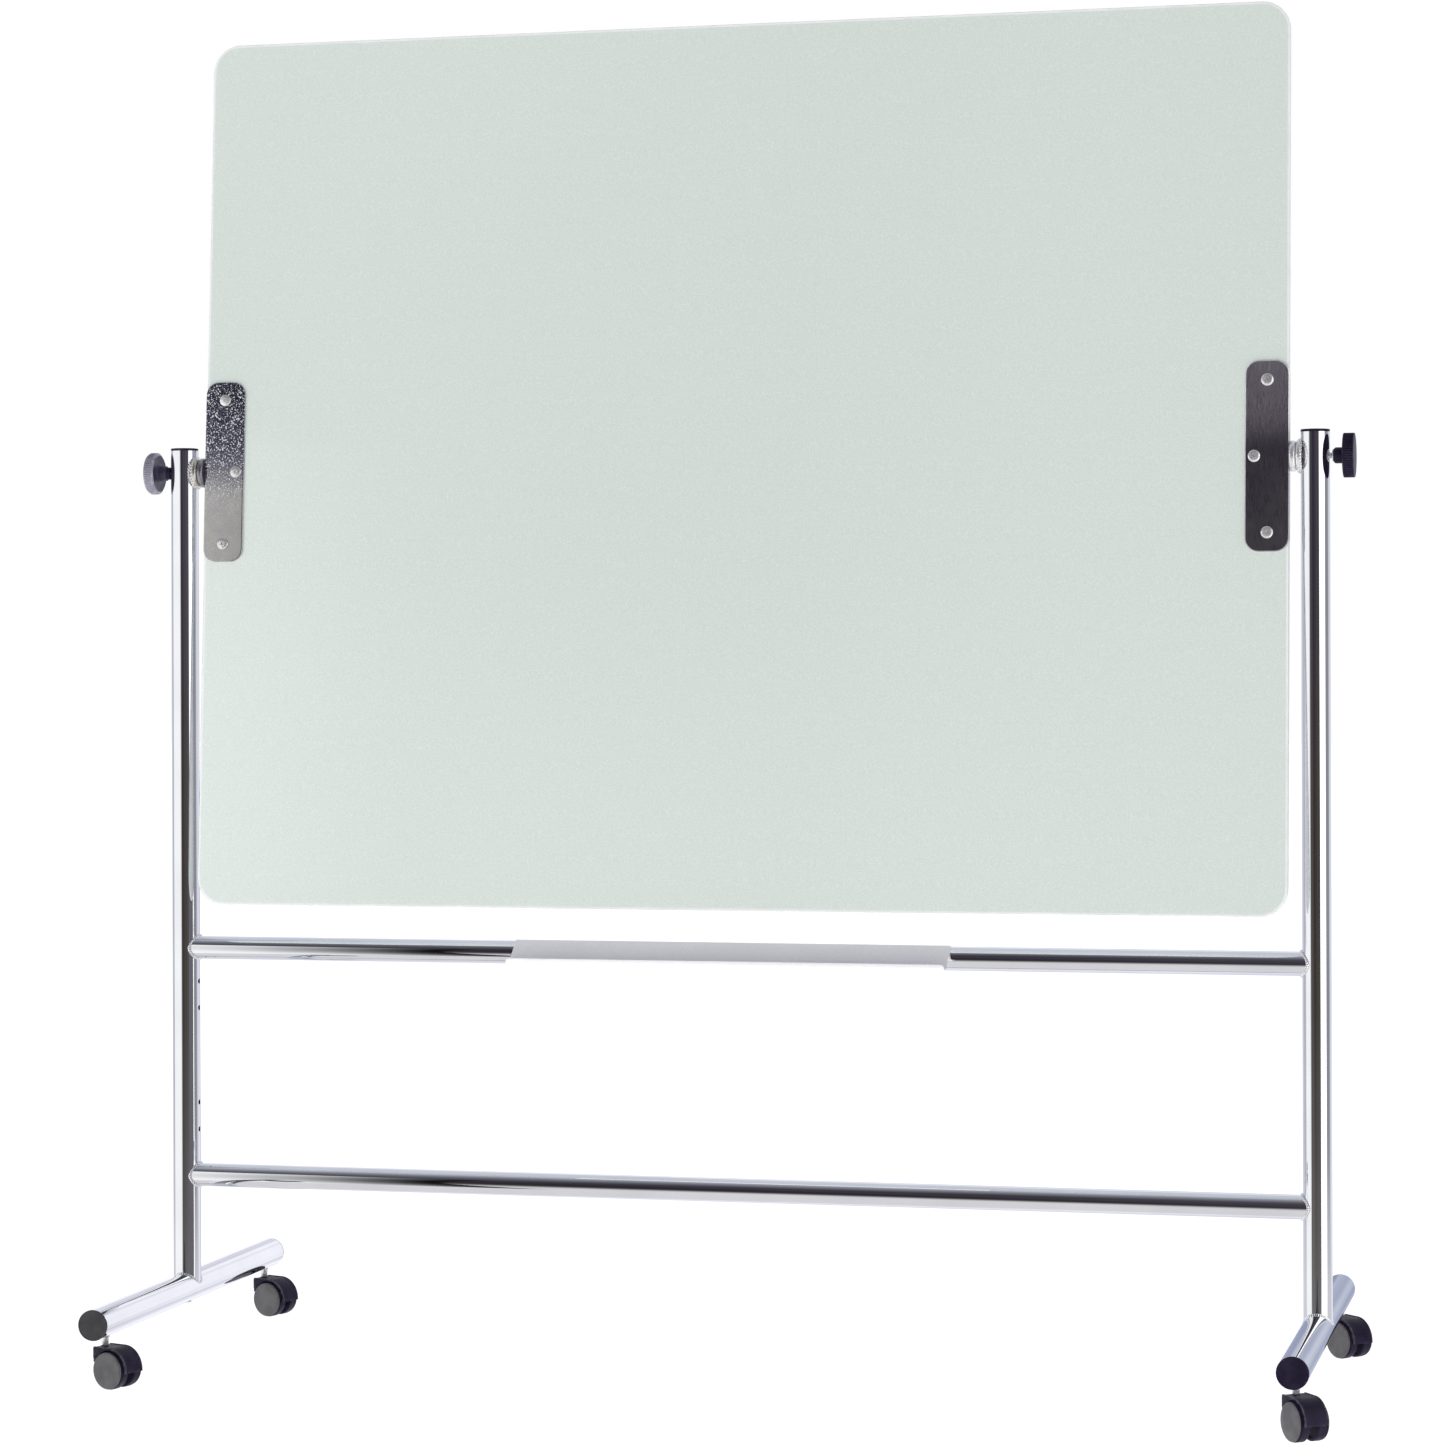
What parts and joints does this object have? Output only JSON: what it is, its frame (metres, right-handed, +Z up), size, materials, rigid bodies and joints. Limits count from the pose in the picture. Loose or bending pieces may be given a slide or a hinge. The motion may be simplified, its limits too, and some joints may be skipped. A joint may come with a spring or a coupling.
{
  "type": "rolling whiteboard",
  "caption": "Double-sided glass board that turns over between two chromed tube posts on a wheeled stand, with clamping knobs and a pen tray.",
  "frame": {"origin": "on the floor, midway between the two posts and close to midway between the four casters", "axes": "+X along the board to the right seen from the front, +Y to the rear, +Z up"},
  "size_m": [1.6697, 0.6771, 1.8196],
  "materials": {
    "chrome": "bright plated round tube",
    "zinc": "zinc plated, satin",
    "dark_steel": "dark plated, fine grain",
    "black_plastic": "moulded, satin",
    "wheel_plastic": "moulded, fine texture",
    "painted_glass": "back-painted, polished",
    "sheet_steel": "galvanised sheet",
    "pale_enamel": "powder coated, satin"
  },
  "bodies": {
    "frame": {"left_post": "chrome", "left_post_cap": "black_plastic", "left_foot": "chrome", "left_foot_front_cap": "black_plastic", "left_foot_rear_cap": "black_plastic", "left_post_plug": "zinc", "left_foot_bolt": "zinc", "left_post_collar": "zinc", "right_post": "chrome", "right_post_cap": "black_plastic", "right_foot": "chrome", "right_foot_front_cap": "black_plastic", "right_foot_rear_cap": "black_plastic", "right_post_plug": "zinc", "right_foot_bolt": "zinc", "right_post_collar": "zinc", "upper_crossbar": "chrome", "lower_crossbar": "chrome", "pen_tray": "pale_enamel", "front_left_caster_stem": "zinc", "rear_left_caster_stem": "zinc", "front_right_caster_stem": "zinc", "rear_right_caster_stem": "zinc"},
    "board": {"front_glass": "painted_glass", "steel_core": "sheet_steel", "rear_glass": "painted_glass", "left_clamp_front_plate": "dark_steel", "left_clamp_rear_plate": "dark_steel", "left_pivot_hub": "dark_steel", "left_clamp_screw_top": "zinc", "left_clamp_screw_middle": "zinc", "left_clamp_screw_bottom": "zinc", "right_clamp_front_plate": "dark_steel", "right_clamp_rear_plate": "dark_steel", "right_pivot_hub": "dark_steel", "right_clamp_screw_top": "zinc", "right_clamp_screw_middle": "zinc", "right_clamp_screw_bottom": "zinc"},
    "left_knob_carrier": {"left_knob_washer": "zinc"},
    "left_knob_grip": {"left_knob": "black_plastic", "left_knob_stud": "zinc"},
    "right_knob_carrier": {"right_knob_washer": "zinc"},
    "right_knob_grip": {"right_knob": "black_plastic", "right_knob_stud": "zinc"},
    "front_left_caster": {"front_left_caster_hood": "black_plastic", "front_left_caster_axle": "zinc"},
    "front_left_near_wheel": {"front_left_near_wheel": "wheel_plastic"},
    "front_left_far_wheel": {"front_left_far_wheel": "wheel_plastic"},
    "rear_left_caster": {"rear_left_caster_hood": "black_plastic", "rear_left_caster_axle": "zinc"},
    "rear_left_near_wheel": {"rear_left_near_wheel": "wheel_plastic"},
    "rear_left_far_wheel": {"rear_left_far_wheel": "wheel_plastic"},
    "front_right_caster": {"front_right_caster_hood": "black_plastic", "front_right_caster_axle": "zinc"},
    "front_right_near_wheel": {"front_right_near_wheel": "wheel_plastic"},
    "front_right_far_wheel": {"front_right_far_wheel": "wheel_plastic"},
    "rear_right_caster": {"rear_right_caster_hood": "black_plastic", "rear_right_caster_axle": "zinc"},
    "rear_right_near_wheel": {"rear_right_near_wheel": "wheel_plastic"},
    "rear_right_far_wheel": {"rear_right_far_wheel": "wheel_plastic"}
  },
  "joints": [
    {"name": "board_turn", "type": "hinge", "parent": "frame", "child": "board", "pos_m": [0, 0, 1.2207], "axis": [1, 0, 0], "continuous": true},
    {"name": "left_knob_travel", "type": "slide", "parent": "frame", "child": "left_knob_carrier", "axis": [-1, 0, 0], "range_m": [0, 0.0045]},
    {"name": "left_knob_turn", "type": "hinge", "parent": "left_knob_carrier", "child": "left_knob_grip", "pos_m": [-0.8023, 0, 1.2207], "axis": [-1, 0, 0], "range_deg": [0, 1080]},
    {"name": "right_knob_travel", "type": "slide", "parent": "frame", "child": "right_knob_carrier", "axis": [1, 0, 0], "range_m": [-0.0027, 0.0015]},
    {"name": "right_knob_turn", "type": "hinge", "parent": "right_knob_carrier", "child": "right_knob_grip", "pos_m": [0.8023, 0, 1.2207], "axis": [1, 0, 0], "range_deg": [-648, 360]},
    {"name": "front_left_swivel", "type": "hinge", "parent": "frame", "child": "front_left_caster", "pos_m": [-0.783, -0.293, 0.05], "axis": [0, 0, 1], "continuous": true},
    {"name": "front_left_near_roll", "type": "hinge", "parent": "front_left_caster", "child": "front_left_near_wheel", "pos_m": [-0.76314, -0.29984, 0.025], "axis": [0.3256, 0.9455, 0], "continuous": true},
    {"name": "front_left_far_roll", "type": "hinge", "parent": "front_left_caster", "child": "front_left_far_wheel", "pos_m": [-0.76314, -0.29984, 0.025], "axis": [0.3256, 0.9455, 0], "continuous": true},
    {"name": "rear_left_swivel", "type": "hinge", "parent": "frame", "child": "rear_left_caster", "pos_m": [-0.783, 0.303, 0.05], "axis": [0, 0, 1], "continuous": true},
    {"name": "rear_left_near_roll", "type": "hinge", "parent": "rear_left_caster", "child": "rear_left_near_wheel", "pos_m": [-0.76314, 0.29616, 0.025], "axis": [0.3256, 0.9455, 0], "continuous": true},
    {"name": "rear_left_far_roll", "type": "hinge", "parent": "rear_left_caster", "child": "rear_left_far_wheel", "pos_m": [-0.76314, 0.29616, 0.025], "axis": [0.3256, 0.9455, 0], "continuous": true},
    {"name": "front_right_swivel", "type": "hinge", "parent": "frame", "child": "front_right_caster", "pos_m": [0.783, -0.293, 0.05], "axis": [0, 0, 1], "continuous": true},
    {"name": "front_right_near_roll", "type": "hinge", "parent": "front_right_caster", "child": "front_right_near_wheel", "pos_m": [0.79534, -0.30999, 0.025], "axis": [0.809, 0.5878, 0], "continuous": true},
    {"name": "front_right_far_roll", "type": "hinge", "parent": "front_right_caster", "child": "front_right_far_wheel", "pos_m": [0.79534, -0.30999, 0.025], "axis": [0.809, 0.5878, 0], "continuous": true},
    {"name": "rear_right_swivel", "type": "hinge", "parent": "frame", "child": "rear_right_caster", "pos_m": [0.783, 0.303, 0.05], "axis": [0, 0, 1], "continuous": true},
    {"name": "rear_right_near_roll", "type": "hinge", "parent": "rear_right_caster", "child": "rear_right_near_wheel", "pos_m": [0.79811, 0.28841, 0.025], "axis": [0.6947, 0.7193, 0], "continuous": true},
    {"name": "rear_right_far_roll", "type": "hinge", "parent": "rear_right_caster", "child": "rear_right_far_wheel", "pos_m": [0.79811, 0.28841, 0.025], "axis": [0.6947, 0.7193, 0], "continuous": true}
  ],
  "couplings": [
    {"joint": "left_knob_travel", "follows": "left_knob_turn", "m_per_rad": 0.00023873},
    {"joint": "right_knob_travel", "follows": "right_knob_turn", "m_per_rad": 0.00023873}
  ]
}
